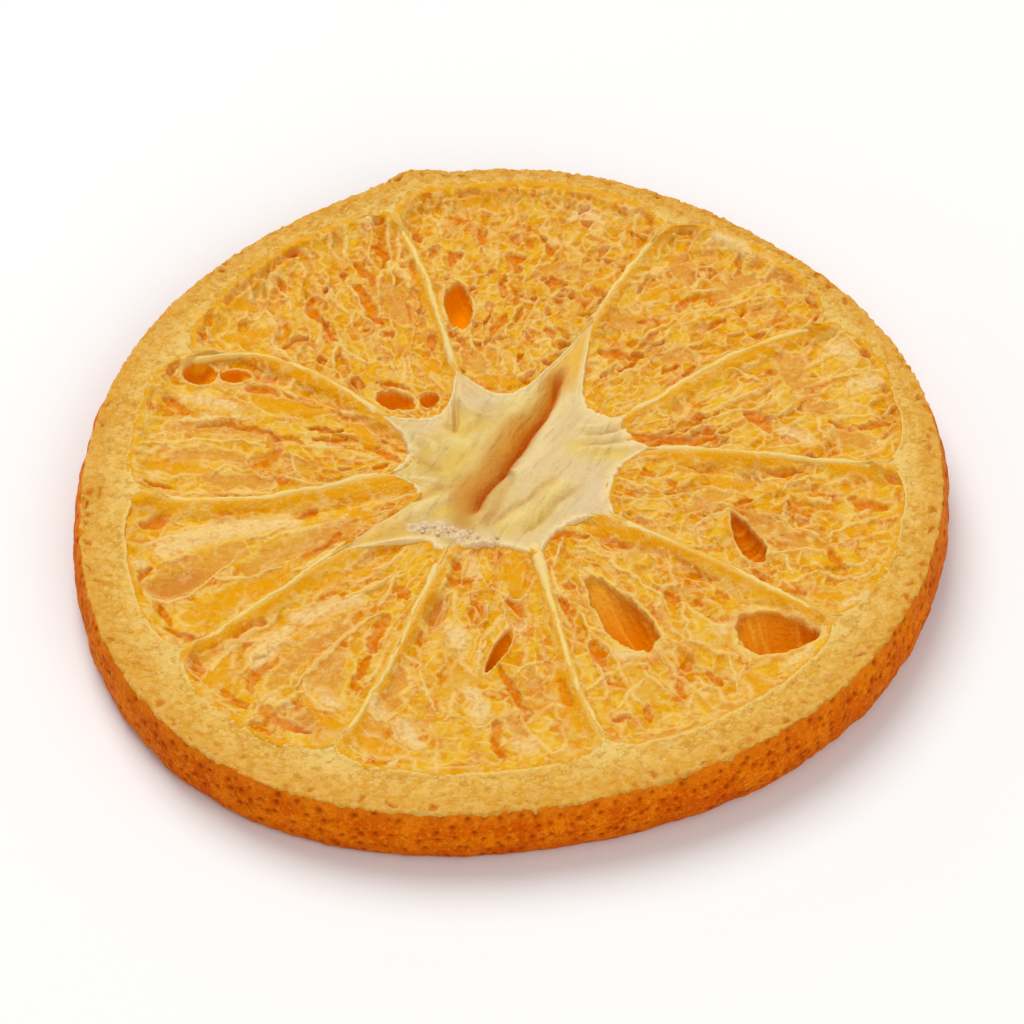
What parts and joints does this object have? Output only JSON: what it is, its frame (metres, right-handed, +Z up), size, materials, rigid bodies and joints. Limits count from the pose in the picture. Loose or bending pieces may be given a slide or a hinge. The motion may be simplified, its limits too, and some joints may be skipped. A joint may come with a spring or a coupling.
{
  "type": "freeze-dried mandarin slice",
  "caption": "Thin round slice of freeze-dried mandarin: a wrinkled rind round sunken wedges of pulp with open juice sacs, thin membranes and a split, star-shaped white core.",
  "frame": {"origin": "on the surface the slice lies on, under the middle of its outline", "axes": "+Z up through the slice's thickness, +Y to its back, +X to its right, as it is seen from the front"},
  "size_m": [0.0524, 0.0526, 0.0045],
  "materials": {
    "pulp": "dry, brittle foam of broken juice sacs, orange yellow, matte with a faint sheen",
    "membrane": "thin dry skin between the wedges, pale yellow, satin",
    "core": "spongy white pith, cream, matte",
    "albedo": "cut face of the rind, tan yellow, granular, matte",
    "zest": "outer skin with oil gland pits, deep orange, satin"
  },
  "bodies": {
    "root": {"mandarin_slice": "pulp"}
  },
  "joints": []
}
